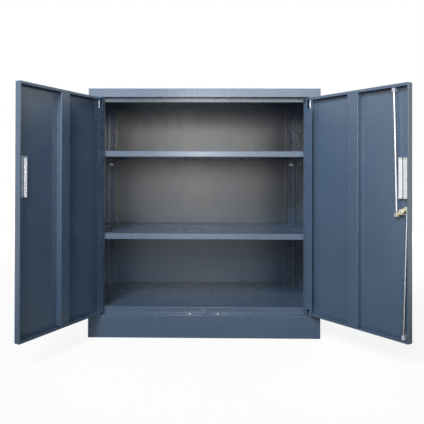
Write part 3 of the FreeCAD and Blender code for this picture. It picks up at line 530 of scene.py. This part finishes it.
# Pull handles: the back's strip on the hinge side falls towards the groove

STRIP_FALL = 1.7 * MM
RIM_RADIUS, GROOVE_RADIUS = 1.4 * MM, 0.4 * MM
# How near to a plane a point lies on it, and how nearly one way faces another, as a cosine
ON_PLANE = 0.01 * MM
ALONGSIDE, SQUARE_TO = 0.99, 0.1


def in_order(values):
    """The different lengths among some, in order, to a hundredth of a millimetre."""
    return [value * MM for value in sorted({round(value / MM, 2) for value in values})]


def handle_back(piece, side):
    """The way that a handle's back faces, the way across it from its hinge side, how far out
    the back lies, and its corners."""
    form = bmesh.new()
    form.from_mesh(piece.data)
    upright = [face for face in form.faces
               if abs(face.normal.z) < SQUARE_TO and face.normal.y < 0.0]
    inward = max(upright, key=lambda face: face.calc_area()).normal.copy()
    outward = inward.cross(UP) * (1.0 if side == "left" else -1.0)
    level = max(vert.co.dot(inward) for vert in form.verts)
    corners = [vert.co.copy() for vert in form.verts if level - vert.co.dot(inward) < ON_PLANE]
    form.free()
    return inward, outward, level, corners


def slope_strip(piece, side):
    """Slope that strip of a handle's back; gives the way across it and the groove's two sides."""
    inward, outward, level, corners = handle_back(piece, side)
    groove, groove_end = in_order(corner.dot(outward) for corner in corners)[1:3]
    heights = in_order(corner.z for corner in corners)
    low, high = heights[1], heights[-2]

    def on_back(point):
        return level - point.dot(inward) < ON_PLANE

    def back_face(face):
        return face.normal.dot(inward) > ALONGSIDE and on_back(face.calc_center_median())

    def beside_groove(vert):
        return (abs(vert.co.dot(outward) - groove) < 2.0 * ON_PLANE
                and low - MM < vert.co.z < high + MM and on_back(vert.co))

    open_mesh(piece, "FACE")
    for point, across in ((outward * groove, outward), ((0.0, 0.0, low), UP),
                          ((0.0, 0.0, high), UP)):
        bpy.ops.mesh.select_all(action="DESELECT")
        pick(piece, "faces", back_face)
        bpy.ops.mesh.bisect(plane_co=point, plane_no=across, threshold=ON_PLANE / 10.0)
    bpy.ops.mesh.select_mode(type="VERT")
    bpy.ops.mesh.select_all(action="DESELECT")
    pick(piece, "verts", beside_groove)
    bpy.ops.transform.translate(value=-STRIP_FALL * inward)
    close_mesh()
    return outward, groove, groove_end


def form_handle(side):
    piece = merged_copy(side + "_handle")
    finish[side + "_handle"] = grooved_aluminium(side, *slope_strip(piece, side))
    ease_edges(piece, RIM_RADIUS, True, ROUND_STEPS)
    ease_edges(piece, GROOVE_RADIUS, True, SMALL_STEPS)
    smooth_off(piece)
    hand_over(piece, side + "_handle")


for side in SIDES:
    form_handle(side)


# Hinge bolt springs: real coils of round wire

WIRE_RADIUS = 0.6 * MM
WIRE_SIDES = 10
COIL_TURNS = 7
STEPS_PER_TURN = 20
COIL_SMOOTH_ANGLE = math.radians(50.0)


def wind_spring(side):
    """Wind one spring from its wire's round section."""
    node = side + "_bolt_spring"
    low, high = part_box(node)
    centre = (low + high) / 2.0
    wire_middle = (high.x - low.x) / 2.0 - WIRE_RADIUS
    bpy.ops.object.select_all(action="DESELECT")
    bpy.ops.mesh.primitive_circle_add(vertices=WIRE_SIDES, radius=WIRE_RADIUS, fill_type="NOTHING",
                                      location=(wire_middle, 0.0, WIRE_RADIUS),
                                      rotation=(math.pi / 2.0, 0.0, 0.0))
    piece = bpy.context.object
    piece.name = node + "_coil"
    bpy.ops.object.transform_apply(location=True, rotation=True, scale=True)
    winding = piece.modifiers.new("winding", "SCREW")
    winding.angle = 2.0 * math.pi * COIL_TURNS
    winding.screw_offset = high.z - low.z - 2.0 * WIRE_RADIUS
    winding.iterations = 1
    winding.steps = winding.render_steps = STEPS_PER_TURN * COIL_TURNS
    winding.use_smooth_shade = True
    bpy.ops.object.modifier_apply(modifier=winding.name)
    open_mesh(piece, "EDGE")
    bpy.ops.mesh.select_non_manifold()
    bpy.ops.mesh.edge_face_add()
    bpy.ops.mesh.select_all(action="SELECT")
    bpy.ops.mesh.normals_make_consistent(inside=False)
    bpy.ops.transform.translate(value=(centre.x, centre.y, low.z))
    close_mesh()
    bpy.ops.object.shade_smooth_by_angle(angle=COIL_SMOOTH_ANGLE)
    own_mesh(piece)
    hand_over(piece, node)


for side in SIDES:
    wind_spring(side)


# Surroundings: what is white to the eye and in the gloss, but lights little by itself

WORLD_LIGHT = 0.02
FLOOR_SIZE = 60.0
FLOOR_GREY = (0.16, 0.16, 0.16, 1.0)
# The floor's own light: between which distances from the middle it grows, and from how much to
# how much. First in gloss, as a share of the other, then as the camera sees it
# In gloss the floor's light is held low near the cabinet: painted shade of the cabinet on the
# floor there
MIRRORED_FLOOR = (0.6, 2.8, 0.08, 1.0)
SEEN_FLOOR = (0.8, 7.0, 0.85, 0.97)


def ray_masks(tree):
    """Two masks: 1 where the camera sees it directly, and 1 where it is seen in gloss."""
    rays = tree.nodes.new("ShaderNodeLightPath").outputs
    by_surface = maths(tree, "MAXIMUM", rays["Is Glossy Ray"], rays["Is Transmission Ray"])
    return rays["Is Camera Ray"], by_surface


def set_world():
    """White where it is seen or mirrored, and a plain soft light elsewhere."""
    world = bpy.data.worlds.new("studio")
    bpy.context.scene.world = world
    world.use_nodes = True
    tree = world.node_tree
    tree.nodes.clear()
    seen = maths(tree, "MAXIMUM", *ray_masks(tree))
    soft = put(tree, "ShaderNodeBackground", Color=WHITE, Strength=WORLD_LIGHT)
    white = put(tree, "ShaderNodeBackground", Color=WHITE, Strength=1.0)
    mixed = put(tree, "ShaderNodeMixShader", slot_0=seen, slot_1=soft.outputs[0],
                slot_2=white.outputs[0])
    put(tree, "ShaderNodeOutputWorld", Surface=mixed.outputs[0])


def under_cabinet(tree, place):
    """1 on the ground that the case stands over, which no light reaches, and 0 elsewhere."""
    low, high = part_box("side_panel_left")
    axes = axes_of(tree, place)
    return product(tree, maths(tree, "LESS_THAN", maths(tree, "ABSOLUTE", axes["X"]), -low.x),
                   maths(tree, "GREATER_THAN", axes["Y"], low.y),
                   maths(tree, "LESS_THAN", axes["Y"], high.y))


def set_floor():
    """Pale ground that is seen white where nothing shades it, and keeps the cabinet's shadow."""
    bpy.ops.mesh.primitive_plane_add(size=FLOOR_SIZE, location=(0.0, 0.0, 0.0))
    floor = bpy.context.object
    floor.name = "floor"
    material = bpy.data.materials.new("pale floor")
    material.use_nodes = True
    tree = material.node_tree
    shader = tree.nodes["Principled BSDF"]
    feed(tree, shader, Base_Color=FLOOR_GREY, Roughness=0.9, Specular_IOR_Level=0.1)
    place = tree.nodes.new("ShaderNodeTexCoord").outputs["Object"]
    away = vector_maths(tree, "LENGTH", "Value", place)
    by_camera, by_surface = ray_masks(tree)
    # Held low near the cabinet in gloss: painted shade
    mirrored = product(tree, by_surface, ranged(tree, away, *MIRRORED_FLOOR))
    seen = maths(tree, "MAXIMUM", by_camera, mirrored)
    open_ground = maths(tree, "SUBTRACT", 1.0, under_cabinet(tree, place))
    strength = product(tree, seen, open_ground, ranged(tree, away, *SEEN_FLOOR))
    lift = put(tree, "ShaderNodeEmission", Color=WHITE, Strength=strength)
    both = put(tree, "ShaderNodeAddShader", slot_0=shader.outputs[0], slot_1=lift.outputs[0])
    plug(tree, tree.nodes["Material Output"], "Surface", both.outputs[0])
    floor.data.materials.append(material)


# Lamps: name, place, what it faces, width, height, how bright its face is, how wide it throws
# (degrees), and whether it shows in gloss. The high one would turn the cabinet's top white there.
LAMPS = [
    ("front", (0.02, -2.05, 1.01), (0.0, 0.0, 0.7), 0.35, 0.6, 11.6, 180.0, True),
    ("front low", (0.0, -2.2, 0.32), (0.0, 0.0, 0.35), 0.6, 0.3, 3.8, 180.0, True),
    ("front left", (-0.75, -2.3, 1.25), (0.0, 0.0, 0.7), 0.4, 0.3, 4.8, 180.0, True),
    ("front right", (0.5, -2.4, 1.1), (0.0, 0.0, 0.7), 0.5, 0.5, 3.3, 180.0, True),
    ("right", (0.9, -2.6, 1.6), (0.0, 0.0, 1.0), 0.8, 0.8, 0.65, 90.0, True),
    ("high left", (-1.0, -2.5, 2.6), (0.0, 0.0, 1.1), 1.2, 1.2, 5.3, 70.0, False),
    ("left", (-1.9, -1.7, 2.0), (0.0, 0.0, 0.9), 1.0, 1.0, 1.5, 180.0, True),
    ("behind right", (3.0, 3.4, 0.6), (0.0, 0.3, 0.5), 4.0, 1.2, 6.5, 180.0, True),
    ("behind left", (-3.0, 3.4, 0.6), (0.0, 0.3, 0.5), 4.0, 1.2, 3.5, 180.0, True),
]


def soft_lamp(name, place, target, width, height, radiance, spread, in_gloss):
    """A rectangular soft lamp, which the camera doesn't see."""
    data = bpy.data.lights.new(name, "AREA")
    data.shape = "RECTANGLE"
    data.size, data.size_y = width, height
    data.energy = radiance * math.pi * width * height
    data.spread = math.radians(spread)
    lamp = bpy.data.objects.new(name, data)
    bpy.context.scene.collection.objects.link(lamp)
    lamp.location = place
    lamp.rotation_euler = (Vector(target) - Vector(place)).to_track_quat("-Z", "Y").to_euler()
    lamp.visible_camera = False
    lamp.visible_glossy = in_gloss


# The photograph's camera: place, then yaw, pitch and roll in degrees; lengths in pixels
PHOTO_SIZE = 424
CAMERA_PLACE = (-0.0655, -1.9798, 0.6538)
CAMERA_YAW, CAMERA_PITCH, CAMERA_ROLL = 0.768, 0.327, 0.162
FOCAL_PIXELS = 493.69
PRINCIPAL_POINT = (181.20, 171.81)
SENSOR_WIDTH = 36.0
CAMERA_REACH = 100.0


def set_camera():
    """The photograph's view, with the part of a wider frame that it keeps."""
    yaw, pitch, roll = (math.radians(a) for a in (CAMERA_YAW, CAMERA_PITCH, CAMERA_ROLL))
    ahead = Vector((-math.sin(yaw) * math.cos(pitch), math.cos(yaw) * math.cos(pitch),
                    math.sin(pitch)))
    level = Vector((math.cos(yaw), math.sin(yaw), 0.0))
    upright = level.cross(ahead)
    right = math.cos(roll) * level + math.sin(roll) * upright
    up = -math.sin(roll) * level + math.cos(roll) * upright
    data = bpy.data.cameras.new("photo camera")
    data.sensor_fit = "HORIZONTAL"
    data.sensor_width = SENSOR_WIDTH
    data.lens = FOCAL_PIXELS * SENSOR_WIDTH / PHOTO_SIZE
    data.shift_x = 0.5 - PRINCIPAL_POINT[0] / PHOTO_SIZE
    data.shift_y = PRINCIPAL_POINT[1] / PHOTO_SIZE - 0.5
    data.clip_end = CAMERA_REACH
    camera = bpy.data.objects.new("photo camera", data)
    bpy.context.scene.collection.objects.link(camera)
    turn = Matrix((right, up, -ahead)).transposed().to_4x4()
    camera.matrix_world = Matrix.Translation(CAMERA_PLACE) @ turn
    bpy.context.scene.camera = camera


set_world()
set_floor()
for lamp in LAMPS:
    soft_lamp(*lamp)
set_camera()
bpy.context.scene.view_settings.view_transform = "Standard"
